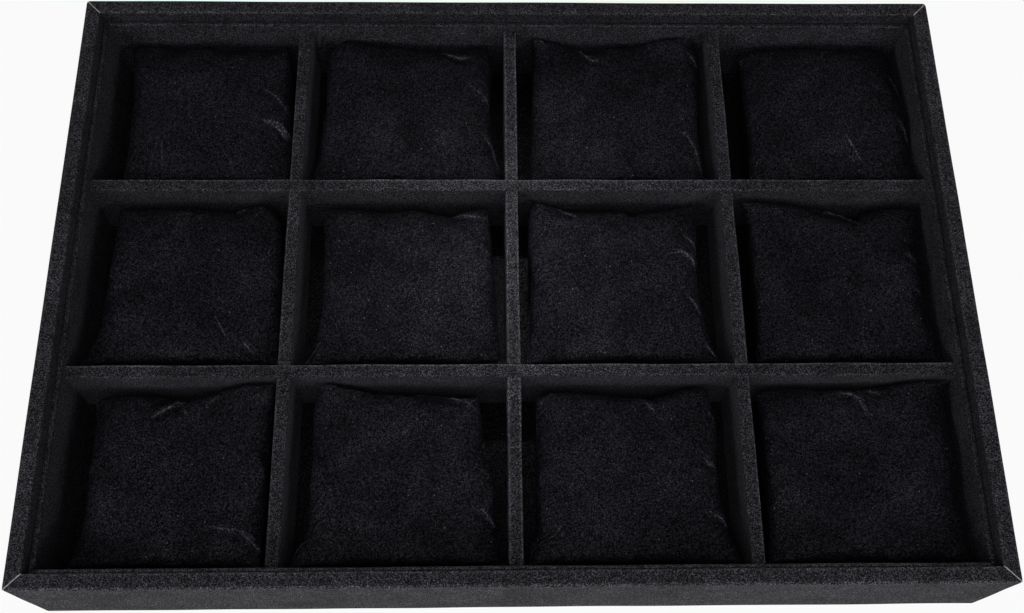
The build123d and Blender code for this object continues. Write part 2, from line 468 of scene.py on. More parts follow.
@dataclass(frozen=True)
class SectionLine:
    """The line that a velvet follows round a board, seen from the board's end.

    x runs across the board and y up. The line turns left round the board, so the pile is on its right.
    """

    corners: tuple[tuple[float, float], ...]
    radii: tuple[float, ...]
    near: float = 0.35 * MM
    far: float = 4.0 * MM
    arc_steps: int = 7
    # The last two fields paint sheen along each rounded bend, fading away from it; a negative amount
    # paints shade.
    light_reach: float = 0.16 * MM
    edge_light: tuple[float, ...] = (0.6, 0.6, 0.0)

    def trace(self) -> tuple[np.ndarray, np.ndarray, np.ndarray]:
        """Points along the line.

        Returns:
            The points, the direction of the pile at each, and how much painted sheen it has there, or
            painted shade where negative.
        """
        corners = np.array(self.corners, float)
        runs = np.diff(corners, axis=0)
        lengths = np.linalg.norm(runs, axis=1)
        ahead = runs / lengths[:, None]
        piles = np.stack([ahead[:, 1], -ahead[:, 0]], axis=1)
        bends = range(len(ahead) - 1)
        turns = [math.acos(float(np.clip(ahead[i] @ ahead[i + 1], -1, 1))) for i in bends]
        trims = [radius * math.tan(turn / 2) for radius, turn in zip(self.radii, turns)]
        points, directions, painted_light = [], [], []
        for i, start in enumerate(corners[:-1]):
            before = trims[i - 1] if i > 0 else 0.0
            after = trims[i] if i < len(trims) else 0.0
            free = lengths[i] - before - after
            light_before = self.edge_light[i - 1] if i > 0 else 0.0
            light_after = self.edge_light[i] if i < len(trims) else 0.0
            for mark in graded(free, self.near, self.far):
                points.append(start + ahead[i] * (before + mark))
                directions.append(piles[i])
                from_before = light_before * math.exp(-mark / self.light_reach)
                from_after = light_after * math.exp((mark - free) / self.light_reach)
                painted_light.append(max(from_before, from_after, key=abs))
            if i == len(trims):
                break
            centre = points[-1] - piles[i] * self.radii[i]
            across, up = piles[i]
            cross = ahead[i][0] * ahead[i + 1][1] - ahead[i][1] * ahead[i + 1][0]
            side = math.copysign(1.0, float(cross))
            for step in range(1, self.arc_steps):
                angle = side * turns[i] * step / self.arc_steps
                cosine, sine = math.cos(angle), math.sin(angle)
                turned = np.array([across * cosine - up * sine, across * sine + up * cosine])
                points.append(centre + turned * self.radii[i])
                directions.append(turned)
                painted_light.append(self.edge_light[i])
        return np.array(points), np.array(directions), np.array(painted_light)


def shell_faces(stations: int, width: int) -> list:
    """Faces of a closed shell swept through stations, each an outer line and the inner line back.

    Args:
        stations: how many sections the shell has.
        width: how many points the outer line has, and the inner line too.

    Returns:
        Lists of corner numbers.
    """
    ring = 2 * width
    faces = []
    for station in range(stations - 1):
        base = station * ring
        for i in range(ring):
            after = (i + 1) % ring
            faces.append([base + i, base + after, base + ring + after, base + ring + i])
    for base, flipped in ((0, False), ((stations - 1) * ring, True)):
        for i in range(width - 1):
            face = [base + i, base + ring - 1 - i, base + ring - 2 - i, base + i + 1]
            faces.append(face[::-1] if flipped else face)
    return faces


def closed_loop(points: np.ndarray, piles: np.ndarray, wave: np.ndarray, thickness: float) -> np.ndarray:
    """Outer line of a velvet's section with its unevenness, then its inner line back."""
    return np.vstack([points + piles * wave[:, None], (points - piles * thickness)[::-1]])


def shell_piece(
    name: str, shells: list[list[np.ndarray]], painted_light: np.ndarray, finish: bpy.types.Material
) -> bpy.types.Object:
    """Piece of closed shells, each swept through its own rings, with painted sheen along its edges.

    Args:
        name: the piece's name.
        shells: the rings of each shell, all of one line.
        painted_light: how much painted sheen, or painted shade where negative, each point of the outer
            line has.
        finish: the piece's velvet.

    Returns:
        The piece.
    """
    faces, base = [], 0
    for rings in shells:
        own_faces = shell_faces(len(rings), len(painted_light))
        faces += [[base + corner for corner in face] for face in own_faces]
        base += sum(len(ring) for ring in rings)
    rings = [ring for shell in shells for ring in shell]
    piece = make_piece(name, np.vstack(rings), faces, finish)
    # Painted sheen on the outer line's rounded edges, or painted shade where negative; none on the inner
    # line.
    ring_light = np.concatenate([painted_light, np.zeros(len(painted_light))])
    add_attribute(piece, PAINTED_SHEEN, np.tile(ring_light, len(rings)))
    return piece


def declare_sheet(
    piece: bpy.types.Object, node: str
) -> None:
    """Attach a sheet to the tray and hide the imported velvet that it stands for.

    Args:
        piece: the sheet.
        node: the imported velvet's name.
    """
    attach(piece, TRAY)
    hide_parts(node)
    log.info("%s: %d faces", piece.name, len(piece.data.polygons))


@dataclass(frozen=True)
class SideFrame:
    """Where one side of a rectangle of the tray starts, and which ways it runs and faces."""

    start: tuple[float, float]
    along: tuple[float, float]
    inwards: tuple[float, float]
    length: float

    @classmethod
    def of(cls, side: Side, half_width: float, half_depth: float) -> "SideFrame":
        """Frame of one side.

        Args:
            side: which side.
            half_width: half the rectangle's size along x.
            half_depth: half its size along y.

        Returns:
            The frame.
        """
        if side is Side.FRONT:
            return cls((-half_width, -half_depth), (1, 0), (0, 1), 2 * half_width)
        if side is Side.RIGHT:
            return cls((half_width, -half_depth), (0, 1), (-1, 0), 2 * half_depth)
        if side is Side.BACK:
            return cls((half_width, half_depth), (-1, 0), (0, -1), 2 * half_width)
        return cls((-half_width, half_depth), (0, -1), (1, 0), 2 * half_depth)

    def place(self, distance: np.ndarray, across: np.ndarray, height: np.ndarray) -> np.ndarray:
        """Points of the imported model's frame, from distances along the side, across it and up.

        Args:
            distance: how far along the side they are.
            across: how far inwards they are.
            height: how high they are.

        Returns:
            The points, one row each.
        """
        start, along, inwards = (np.array(v, float) for v in (self.start, self.along, self.inwards))
        plan = start + distance[:, None] * along + across[:, None] * inwards
        return np.column_stack([plan, height])


@dataclass
class MitredSheet:
    """A velvet glued over one side of the tray and mitred at both ends."""

    line: SectionLine
    thickness: float = 0.45 * MM
    corner_round: float = 0.0
    groove_depth: float = 0.26 * MM
    groove_width: float = 0.55 * MM
    waviness: float = 0.07 * MM
    wavelength: float = 34.0 * MM
    end_gap: float = 0.02 * MM
    near: float = 0.18 * MM
    far: float = 4.5 * MM

    def build(self, name: str, at: SideFrame, seed: int, finish: bpy.types.Material) -> bpy.types.Object:
        """Make the sheet.

        Args:
            name: the piece's name.
            at: the side that it covers.
            seed: number that fixes its unevenness.
            finish: its velvet.

        Returns:
            The piece.
        """
        points, piles, painted_light = self.line.trace()
        stations = graded(at.length - 2 * self.end_gap, self.near, self.far) + self.end_gap
        rings = []
        for station in stations:
            share = station / at.length
            to_end = min(station, at.length - station)
            sink = self.groove_depth * math.exp(-((to_end / self.groove_width) ** 2))
            distance = points[:, 0] + share * (at.length - 2 * points[:, 0])
            wave = ripple(at.place(distance, *points.T), self.wavelength, seed) * self.waviness
            loop = closed_loop(points, piles, wave - sink, self.thickness)
            along = loop[:, 0] + share * (at.length - 2 * loop[:, 0])
            along, inset = self.rounded(along, loop[:, 0], at.length)
            rings.append(at.place(along, inset, np.maximum(loop[:, 1], 0.0)))
        return shell_piece(name, [rings], painted_light, finish)

    def rounded(self, along: np.ndarray, inset: np.ndarray, length: float) -> tuple:
        """Round the upright outer corners at both ends.

        Args:
            along: distances along the side.
            inset: distances in from the outer face.
            length: the side's length.

        Returns:
            The two sets of distances after rounding.
        """
        tiny = 1e-9
        radius = self.corner_round
        if radius == 0:
            return along, inset
        flipped = along > length / 2
        near = np.where(flipped, length - along, along)
        inside = (near < radius) & (inset < radius)
        own = np.maximum(radius - inset, tiny)
        angle = np.clip((radius - near) / own, 0, 1) * math.pi / 4
        near = np.where(inside, radius - own * np.sin(angle), near)
        inset = np.where(inside, radius - own * np.cos(angle), inset)
        return np.where(flipped, length - near, near), inset


@dataclass(frozen=True)
class Viewpoint:
    """Where the photograph was taken from, in millimetres and degrees, and its sizes in pixels."""

    place: tuple[float, float, float] = (-11.65, -189.26, 466.18)
    tilt: float = 22.3456
    yaw: float = -3.6433
    roll: float = 3.2234
    focal: float = 1214.3
    width: int = 1024
    height: int = 613

    def crossing(self, u: float, v: float, axis: int, level: float) -> np.ndarray:
        """Where the sight line through a pixel of the photograph crosses a plane.

        Args:
            u: the pixel's distance from the left edge.
            v: its distance from the top edge.
            axis: number of the axis that the plane is square to.
            level: where the plane meets that axis, in millimetres.

        Returns:
            The crossing in millimetres.
        """
        ray = np.array([(u - self.width / 2) / self.focal, (self.height / 2 - v) / self.focal, -1.0])
        for angle, first, second in ((self.roll, 0, 1), (self.tilt, 1, 2), (self.yaw, 0, 1)):
            cosine, sine = math.cos(math.radians(angle)), math.sin(math.radians(angle))
            ray[first], ray[second] = (
                cosine * ray[first] - sine * ray[second],
                sine * ray[first] + cosine * ray[second],
            )
        start = np.array(self.place)
        return start + (level - start[axis]) / ray[axis] * ray


@dataclass
class Studio:
    """Camera, white floor and lamps."""

    view: Viewpoint = Viewpoint()
    sensor: float = 36.0
    floor_size: float = 40.0
    floor_color: tuple[float, float, float, float] = (0.55, 0.55, 0.55, 1.0)
    floor_glow: float = 0.94
    ambient: float = 0.08
    lamps: tuple[tuple[str, tuple[float, float, float], float, float], ...] = (
        ("key_lamp", (-0.02, -0.65, 1.30), 0.70, 0.23),
        ("left_lamp", (-0.90, -1.00, 0.70), 0.50, 0.32),
        ("right_lamp", (0.90, -1.00, 0.70), 0.50, 0.27),
    )
    spot_place: tuple[float, float, float] = (-0.01, 0.55, 1.15)
    spot_target: tuple[float, float, float] = (-0.004, 0.006, 0.036)
    spot_share: float = 0.56
    spot_radius: float = 0.05
    spot_angle: float = 6.8

    def add_camera(self) -> None:
        """Put the camera where the photograph was taken."""
        data = bpy.data.cameras.new("camera")
        data.lens = round(self.view.focal / self.view.width * self.sensor, 2)
        data.sensor_width = self.sensor
        data.clip_start = 0.01
        camera = bpy.data.objects.new("camera", data)
        bpy.context.scene.collection.objects.link(camera)
        place = Matrix.Translation([c * MM for c in self.view.place])
        turns = (
            Matrix.Rotation(math.radians(self.view.yaw), 4, "Z")
            @ Matrix.Rotation(math.radians(self.view.tilt), 4, "X")
            @ Matrix.Rotation(math.radians(self.view.roll), 4, "Z")
        )
        camera.matrix_world = place @ turns
        bpy.context.scene.camera = camera

    def seen_rays(self, sheet: NodeSheet) -> bpy.types.NodeSocket:
        """Mask of what the camera sees, straight, in reflections or through glass.

        Args:
            sheet: the sheet to put it on.

        Returns:
            The mask, 1 for such rays.
        """
        path = sheet.add("LightPath")
        seen = sheet.math("MAXIMUM", path.outputs["Is Camera Ray"], path.outputs["Is Glossy Ray"])
        return sheet.math("MAXIMUM", seen, path.outputs["Is Transmission Ray"])

    def add_floor(self) -> None:
        """Lay a white floor that still takes the tray's shadow."""
        half = self.floor_size / 2
        corners = np.array([(-half, -half, 0), (half, -half, 0), (half, half, 0), (-half, half, 0)])
        material, sheet = new_material("white_floor")
        matt = sheet.add("BsdfDiffuse", {"Color": self.floor_color})
        white = sheet.add("Emission", {"Color": (1.0, 1.0, 1.0, 1.0), "Strength": 1.0})
        share = sheet.math("MULTIPLY", self.seen_rays(sheet), self.floor_glow)
        mixed = sheet.add("MixShader", {0: share, 1: matt.outputs[0], 2: white.outputs[0]})
        sheet.add("OutputMaterial", {"Surface": mixed.outputs[0]})
        floor = make_piece("floor", corners, [[0, 1, 2, 3]], material)

    def add_world(self) -> None:
        """Surround the scene with a soft grey light that the camera sees as white."""
        world = bpy.data.worlds.new("studio")
        world.use_nodes = True
        sheet = NodeSheet(world.node_tree)
        grey = (self.ambient, self.ambient, self.ambient, 1.0)
        color = sheet.blend(self.seen_rays(sheet), grey, (1.0, 1.0, 1.0, 1.0))
        surround = sheet.add("Background", {"Color": color, "Strength": 1.0})
        sheet.add("OutputWorld", {"Surface": surround.outputs[0]})
        bpy.context.scene.world = world

    def hang(self, data: bpy.types.Light, place: tuple, target: tuple) -> None:
        """Hang a lamp so that it faces a target.

        Args:
            data: the lamp's light.
            place: where it hangs, in metres.
            target: what it faces, in metres.
        """
        lamp = bpy.data.objects.new(data.name, data)
        bpy.context.scene.collection.objects.link(lamp)
        lamp.location = place
        lamp.rotation_mode = "QUATERNION"
        aim = lamp.location - Vector(target)
        lamp.rotation_quaternion = aim.to_track_quat("Z", "Y")

    def add_lamp(self, name: str, place: tuple, size: float, share: float) -> None:
        """Add a square lamp that faces the tray.

        Args:
            name: the lamp's name.
            place: where it hangs, in metres.
            size: its side, in metres.
            share: how bright a white sheet that faces it at the tray would look.
        """
        middle = (0.0, 0.0, 0.0)
        data = bpy.data.lights.new(name, "AREA")
        data.shape = "SQUARE"
        data.size = size
        data.energy = share * (math.pi * math.dist(place, middle)) ** 2
        self.hang(data, place, middle)

    def add_spot(self) -> None:
        """Add a small round lamp that lifts the middle of the tray."""
        distance = math.dist(self.spot_place, self.spot_target)
        data = bpy.data.lights.new("middle_lamp", "SPOT")
        data.energy = self.spot_share * 4 * (math.pi * distance) ** 2
        data.shadow_soft_size = self.spot_radius
        data.spot_size = math.radians(self.spot_angle)
        data.spot_blend = 1.0
        self.hang(data, self.spot_place, self.spot_target)

    def build(self) -> None:
        """Add everything of the studio."""
        bpy.context.scene.view_settings.view_transform = "Standard"
        self.add_camera()
        self.add_floor()
        self.add_world()
        for lamp in self.lamps:
            self.add_lamp(*lamp)
        self.add_spot()


@dataclass
class Palette:
    """All finishes of the tray."""

    def __post_init__(self) -> None:
        """Make each finish once."""
        pile = velvet_pile_group()
        velvets = (
            VelvetFinish("wall_velvet", (0.0128, 0.0124, 0.0152), 0.050, 0.130),
            VelvetFinish("liner_velvet", (0.0165, 0.0160, 0.0196), 0.055, 0.12),
            VelvetFinish("divider_velvet", (0.0138, 0.0135, 0.0163), 0.080, 0.10),
            VelvetFinish(
                "pillow_velvet", (0.0057, 0.0055, 0.0074), 0.009, 0.045, nap=18.0, nap_contrast=1.6
            ),
            # The floor lining is darker than the other velvets: painted shade for the deep gaps between
            # the pillows.
            VelvetFinish("shaded_floor_velvet", (0.0048, 0.0047, 0.0058), 0.004, 0.03),
        )
        self.wall, self.liner, self.divider, self.pillow, self.floor = (v.material(pile) for v in velvets)
        fibres = fibre_group()
        boards = (
            FibreFinish("fibreboard", (0.36, 0.24, 0.14), 1.4, 1.4, 18.0),
            FibreFinish("grey_card", (0.30, 0.29, 0.27), 0.9, 0.9, 12.0),
            FibreFinish("felt_paper", (0.015, 0.015, 0.016), 0.8, 2.2, 16.0),
            FibreFinish("raw_edge", (0.42, 0.41, 0.41), 0.5, 1.2, 4.0),
        )
        self.board, self.card, self.felt, self.raw_edge = (b.material(fibres) for b in boards)


@dataclass
class WallWraps:
    """The velvet over the four walls, its mitred corners and their raw edges."""

    finish: bpy.types.Material
    raw_edge: bpy.types.Material
    top_round: float = 0.8 * MM
    bottom_round: float = 0.4 * MM
    corner_round: float = 1.0 * MM
    turn_in_height: float = 3.6 * MM
    bottom_stop: float = 0.5 * MM
    edge_width: float = 0.42 * MM
    edge_height: float = 0.34 * MM
    edge_sink: float = 0.03 * MM

    def build(self) -> None:
        """Make the four wraps."""
        low, high = node_box("left_wall_velvet")
        thickness = high[0] - low[0]
        top = high[2]
        half_width, half_depth = -low[0], node_box("back_wall_velvet")[1][1]
        for seed, side in enumerate(Side):
            line = SectionLine(
                (
                    (thickness, self.turn_in_height),
                    (thickness, top),
                    (0.0, top),
                    (0.0, 0.0),
                    (thickness - self.bottom_stop, 0.0),
                ),
                (self.top_round, self.top_round, self.bottom_round),
                # painted sheen on the rim's rounded edges, stronger on the front side than on the others
                edge_light=(0.6, 0.5, 0.0) if side is Side.FRONT else (0.15, 0.2, 0.0),
            )
            sheet = MitredSheet(line, corner_round=self.corner_round)
            at = SideFrame.of(side, half_width, half_depth)
            wall = f"{side.value}_wall"
            piece = sheet.build(f"{wall}_wrap", at, seed, self.finish)
            declare_sheet(piece, f"{wall}_velvet")
        for back in (-1, 1):
            for right in (-1, 1):
                name = f"{'back' if back > 0 else 'front'}_{'right' if right > 0 else 'left'}_raw_edge"
                outer = np.array([right * half_width, back * half_depth])
                self.mitre_edge(name, outer, np.array([-right, -back]), thickness, top)

    def mitre_edge(
        self, name: str, corner: np.ndarray, inwards: np.ndarray, thickness: float, top: float
    ) -> None:
        """Show the velvet's pale backing as a thin line along one mitre of the rim.

        Args:
            name: the piece's name.
            corner: the tray's outer corner in plan.
            inwards: which way the rim's inner corner is.
            thickness: the wall's thickness.
            top: the rim's height.
        """
        first, last, count = 0.05, 0.99, 24
        rounded_from, rounded_to, drop_gain = 0.16, 0.86, 2.5
        even, uneven, quick_wave, slow_wave, shift = 0.75, 0.25, 17, 9, 40
        fade_in, fade_out, least = 6, 8, 0.35
        across = np.array([-inwards[1], inwards[0]]) / math.sqrt(2)
        rings = []
        for share in np.linspace(first, last, count):
            turn = quick_wave * share + corner[0] * shift
            swell = even + uneven * math.sin(turn) * math.cos(slow_wave * share)
            fade = min(1.0, fade_in * share, fade_out * (1 - share) + least)
            half = self.edge_width / 2 * swell * fade
            middle = corner + inwards * thickness * share
            drop = self.top_round * max(0.0, rounded_from - share, share - rounded_to) * drop_gain
            high = top - self.edge_sink - drop
            low = high - self.edge_height
            for offset, height in ((-half, low), (half, low), (half, high), (-half, high)):
                rings.append([*(middle + across * offset), height])
        faces = []
        for base in range(0, 4 * (count - 1), 4):
            for j in range(4):
                after = (j + 1) % 4
                faces.append([base + j, base + after, base + 4 + after, base + 4 + j])
        faces += [[0, 3, 2, 1], [base + 4, base + 5, base + 6, base + 7]]
        piece = make_piece(name, np.array(rings), faces, self.raw_edge)
        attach(piece, TRAY)


@dataclass
class LinerFaces:
    """The velvet over the four liner cards, just inside the rim and below it."""

    finish: bpy.types.Material
    turn_over: float = 10.0 * MM
    least_flat: float = 0.06 * MM

    def build(self) -> None:
        """Make the four liner covers."""
        low, high = node_box("left_liner_velvet")
        thickness = high[0] - low[0]
        bottom, top = low[2], high[2]
        half_width, half_depth = -low[0], node_box("back_liner_velvet")[1][1]
        radius = thickness / 2 - self.least_flat
        for seed, side in enumerate(Side):
            line = SectionLine(
                ((thickness, bottom), (thickness, top), (0.0, top), (0.0, top - self.turn_over)),
                (radius, radius),
                # painted sheen on the front liner's inner edge, painted shade on the top edge of the
                # other liners
                edge_light=(1.0, 0.0) if side is Side.FRONT else (-0.2, 0.0),
            )
            sheet = MitredSheet(line, waviness=0.09 * MM)
            at = SideFrame.of(side, half_width, half_depth)
            liner = f"{side.value}_liner"
            piece = sheet.build(f"{liner}_cover", at, 10 + seed, self.finish)
            declare_sheet(piece, f"{liner}_velvet")


@dataclass
class DividerSleeves:
    """The velvet over the two long and three cross dividers, which cross like an egg crate."""

    finish: bpy.types.Material
    long_round: float = 0.6 * MM
    cross_round: float = 0.5 * MM
    thickness: float = 0.45 * MM
    slot_play: float = 0.1 * MM
    touch: float = 0.03 * MM
    near: float = 0.5 * MM
    far: float = 4.0 * MM
    step: float = 0.05 * MM
    waviness: float = 0.10 * MM
    wavelength: float = 30.0 * MM

    def build(self) -> None:
        """Make the five sleeves."""
        long_boxes = {name: node_box(f"{name}_long_divider_velvet") for name in ("front", "back")}
        cross_boxes = {
            name: node_box(f"{name}_cross_divider_velvet") for name in ("left", "centre", "right")
        }
        low, high = long_boxes["front"]
        cross_high = cross_boxes["centre"][1]
        width = high[1] - low[1]
        self.half = width / 2
        self.bottom = low[2]
        self.long_top = high[2]
        self.cross_top = cross_high[2]
        self.lap = (self.bottom + self.cross_top) / 2
        self.long_y = [float(b[0][1] + b[1][1]) / 2 for b in long_boxes.values()]
        cross_x = [float(b[0][0] + b[1][0]) / 2 for b in cross_boxes.values()]
        for seed, (name, y) in enumerate(zip(long_boxes, self.long_y)):
            piece = self.long_sleeve(f"{name}_long_divider_sleeve", y, high[0], cross_x, 20 + seed)
            self.declare(piece, f"{name}_long_divider")
        # painted sheen on each cross divider's right and left top edges
        edge_lights = ((0.0, 0.4), (1.0, 1.0), (0.7, 0.1))
        for seed, (name, x, edge_light) in enumerate(zip(cross_boxes, cross_x, edge_lights)):
            piece = self.cross_sleeve(f"{name}_cross_divider_sleeve", x, cross_high[1], edge_light, 30 + seed)
            self.declare(piece, f"{name}_cross_divider")

    def declare(self, piece: bpy.types.Object, node: str) -> None:
        """Attach a sleeve to the tray and hide its divider's imported velvet.

        Args:
            piece: the sleeve.
            node: its divider's name.
        """
        declare_sheet(piece, f"{node}_velvet")

    def section(self, top: float, rounding: float, edge_light: tuple[float, float]) -> tuple:
        """Line of a sleeve's pile up one face, over the top and down the other.

        Args:
            top: the sleeve's height.
            rounding: radius of its two top edges.
            edge_light: how much painted sheen each of these has, 0 for none.

        Returns:
            The points, the pile's direction at each, and how much painted sheen each has.
        """
        line = SectionLine(
            ((self.half, self.bottom), (self.half, top), (-self.half, top), (-self.half, self.bottom)),
            (rounding, rounding),
            far=3.0 * MM,
            edge_light=edge_light,
        )
        return line.trace()

    def long_sleeve(
        self, name: str, y: float, half_length: float, cross_x: list[float], seed: int
    ) -> bpy.types.Object:
        """One sleeve along the tray, slotted from below where the cross dividers pass.

        Args:
            name: the piece's name.
            y: the divider's middle.
            half_length: half its length.
            cross_x: where the cross dividers pass.
            seed: number that fixes its unevenness.

        Returns:
            The piece.
        """
        # painted sheen mostly on the back top edge
        edge_light = (1.2, 0.1)
        points, piles, painted_light = self.section(self.long_top, self.long_round, edge_light)
        slot = self.half + self.slot_play
        breaks = [-half_length]
        for x in cross_x:
            breaks += [x - slot, x + slot]
        breaks.append(half_length)
        rings = []
        for i, (start, end) in enumerate(zip(breaks[:-1], breaks[1:])):
            slotted = i % 2 == 1
            trim = 0.0 if slotted else self.step
            floor = self.lap + self.slot_play if slotted else self.bottom
            outer = np.column_stack([points[:, 0], np.maximum(points[:, 1], floor)])
            for x in graded(end - start - 2 * trim, self.near, self.far) + start + trim:
                placed = np.column_stack([np.full(len(outer), x), outer[:, 0] + y, outer[:, 1]])
                wave = ripple(placed, self.wavelength, seed) * self.waviness
                loop = closed_loop(outer, piles, wave, self.thickness)
                rings.append(np.column_stack([np.full(len(loop), x), loop[:, 0] + y, loop[:, 1]]))
        return shell_piece(name, [rings], painted_light, self.finish)

    def coped(self, height: np.ndarray) -> np.ndarray:
        """How far from a long divider's middle its velvet is.

        Args:
            height: heights in metres.

        Returns:
            The distance at each height.
        """
        centre = self.long_top - self.long_round
        rise = np.clip(height - centre, 0, self.long_round)
        flat = self.half - self.long_round
        return np.where(height > centre, flat + np.sqrt(self.long_round**2 - rise**2), self.half)

    def cross_sleeve(
        self, name: str, x: float, half_length: float, edge_light: tuple[float, float], seed: int
    ) -> bpy.types.Object:
        """One sleeve from front to back, in three stretches between and beside the long dividers.

        Args:
            name: the piece's name.
            x: the divider's middle.
            half_length: half its length.
            edge_light: how much painted sheen its right and left top edges have, 0 for none.
            seed: number that fixes its unevenness.

        Returns:
            The piece.
        """
        points, piles, painted_light = self.section(self.cross_top, self.cross_round, edge_light)
        stops = [-half_length, *self.long_y, half_length]
        last = len(stops) - 2
        reach = self.coped(points[:, 1]) + self.touch
        shells = []
        for i, (start, end) in enumerate(zip(stops[:-1], stops[1:])):
            from_y = start + (reach if i > 0 else 0.0)
            to_y = end - (reach if i < last else 0.0)
            rings = []
            for share in graded(end - start, self.near, self.far) / (end - start):
                along = from_y + share * (to_y - from_y)
                placed = np.column_stack([points[:, 0] + x, along, points[:, 1]])
                wave = ripple(placed, self.wavelength, seed) * self.waviness
                loop = closed_loop(points, piles, wave, self.thickness)
                there_and_back = np.concatenate([along, along[::-1]])
                rings.append(np.column_stack([loop[:, 0] + x, there_and_back, loop[:, 1]]))
            shells.append(rings)
        return shell_piece(name, shells, painted_light, self.finish)


def dress_nodes(palette: Palette) -> None:
    """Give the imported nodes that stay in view, or lie inside, their finishes.

    Args:
        palette: the finishes.
    """
    by_ending = {
        "_board": palette.board,
        "_core": palette.board,
        "_card": palette.card,
        "_cover": palette.felt,
        # the floor lining gets the darker velvet, painted shade for the gaps
        "_lining": palette.floor,
    }
    for name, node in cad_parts.items():
        if node.hide_render:
            continue
        finish = next(f for ending, f in by_ending.items() if name.endswith(ending))
        node.data.materials.clear()
        node.data.materials.append(finish)
        log.info("%s: %s", name, finish.name)


@dataclass(frozen=True)
class Enlargement:
    """An enlarged part of the photograph: its left and top edge there, and the size of its own pixels."""

    left: float
    top: float
    pixel: float

    def seen_at(self, place: tuple[float, float]) -> tuple[float, float]:
        """The photograph's pixel that a place of the enlargement shows."""
        return self.left + place[0] * self.pixel, self.top + place[1] * self.pixel


@dataclass(frozen=True)
class Fold:
    """A crease in a pillow's top: its run, its width and depth in millimetres, and how strong the painted
    highlight along its line is.
    """

    run: tuple[tuple[float, float], ...]
    width: float
    depth: float
    glow: float


@dataclass(frozen=True)
class PillowLie:
    """How one pillow lies, as read off its row's left or right enlargement, in its pixels.

    left runs from the left back corner towards the front. Each other run starts where the one before
    ends, and leaves that place out: back_left ends at the notch, back_right at the right back corner,
    right near the front. front says how far right of the cell's middle the two front corners lie, in
    millimetres.
    """

    left: tuple[tuple[int, int], ...]
    back_left: tuple[tuple[int, int], ...]
    back_right: tuple[tuple[int, int], ...]
    right: tuple[tuple[int, int], ...]
    front: tuple[float, float]
    folds: tuple[Fold, ...]


@dataclass(frozen=True)
class CellSight:
    """Turns what an enlargement shows into places in a cell, in millimetres from the cell's middle."""

    view: Viewpoint
    part: Enlargement
    middle: np.ndarray
    depth_reach: float = 33.4
    width_reach: float = 38.1
    fold_reach: float = 38.0
    top: float = 34.4
    front_height: float = 30.0

    def crossing(self, place: tuple[float, float], axis: int, level: float) -> np.ndarray:
        """Where the sight line through a place crosses a plane, from the cell's middle."""
        return self.view.crossing(*self.part.seen_at(place), axis, level) - (*self.middle, 0.0)

    def edge(self, place: tuple[int, int]) -> tuple[float, float, float]:
        """Where a place of the sewn edge lies.

        Args:
            place: the place in the enlargement.

        Returns:
            Its place at the seam's height, or higher where it leans on the wall or divider behind.
        """
        x, y, z = self.crossing(place, 2, SEAM_HEIGHT)
        if y > self.depth_reach:
            x, y, z = self.crossing(place, 1, self.middle[1] + self.depth_reach)
        return float(np.clip(x, -self.width_reach, self.width_reach)), float(y), float(min(z, self.top))

    def runs(self, lie: PillowLie) -> tuple[list, list, list, list]:
        """The four runs of a pillow's sewn edge, each with both its ends.

        Args:
            lie: how the pillow lies.

        Returns:
            The left, back left, back right and right runs.
        """
        left, back_left, back_right, right = (
            [self.edge(place) for place in run]
            for run in (lie.left, lie.back_left, lie.back_right, lie.right)
        )
        near_left, near_right = ((x, -self.depth_reach, self.front_height) for x in lie.front)
        return (
            [*left, near_left],
            [left[0], *back_left],
            [back_left[-1], *back_right],
            [back_right[-1], *right, near_right],
        )

    def fold(self, fold: Fold, outline: np.ndarray) -> Fold:
        """A fold as it lies in the cell, on a top that swells up from its sewn edge.

        Args:
            fold: the fold, with its run as the enlargement shows it.
            outline: the sewn edge in plan.

        Returns:
            The fold with its run in millimetres.
        """
        first_height, edge_height, swell, shoulder, passes = 31.0, 29.3, 4.2, 7.0, 3
        run = []
        for place in fold.run:
            height = first_height
            for _ in range(passes):
                x, y = self.crossing(place, 2, height)[:2]
                height = edge_height + swell * (1 - math.exp(-apart(outline, (x, y)) / shoulder))
            run.append((float(np.clip(x, -self.fold_reach, self.fold_reach)), float(y)))
        return replace(fold, run=to_tenths(run))

    def folds(self, lie: PillowLie) -> list[Fold]:
        """All the folds of a pillow as they lie in the cell.

        Args:
            lie: how the pillow lies.

        Returns:
            The folds, with their runs in millimetres.
        """
        left, *others = self.runs(lie)
        outline = np.array([point[:2] for run in (left[::-1], *others) for point in run])
        return [self.fold(fold, outline) for fold in lie.folds]


def apart(run: np.ndarray, place: tuple[float, float]) -> float:
    """How far a place is from the nearest point of a run, in plan.

    Args:
        run: the run's places.
        place: the place.

    Returns:
        The distance.
    """
    tiny = 1e-9
    starts, steps = run[:-1], np.diff(run, axis=0)
    shares = ((place - starts) * steps).sum(axis=1) / np.maximum((steps**2).sum(axis=1), tiny)
    nearest = starts + np.clip(shares, 0, 1)[:, None] * steps
    return float(np.linalg.norm(place - nearest, axis=1).min())


def to_tenths(run: list) -> tuple:
    """A run with its places to a tenth of a millimetre, as exactly as they can be picked."""
    return tuple(tuple(round(value, 1) for value in place) for place in run)


ENLARGEMENTS = {
    Row.BACK: (Enlargement(115, 30, 0.20), Enlargement(510, 30, 0.21)),
    Row.MIDDLE: (Enlargement(70, 195, 0.25), Enlargement(510, 195, 0.25)),
    Row.FRONT: (Enlargement(60, 372, 0.25), Enlargement(515, 372, 0.25)),
}

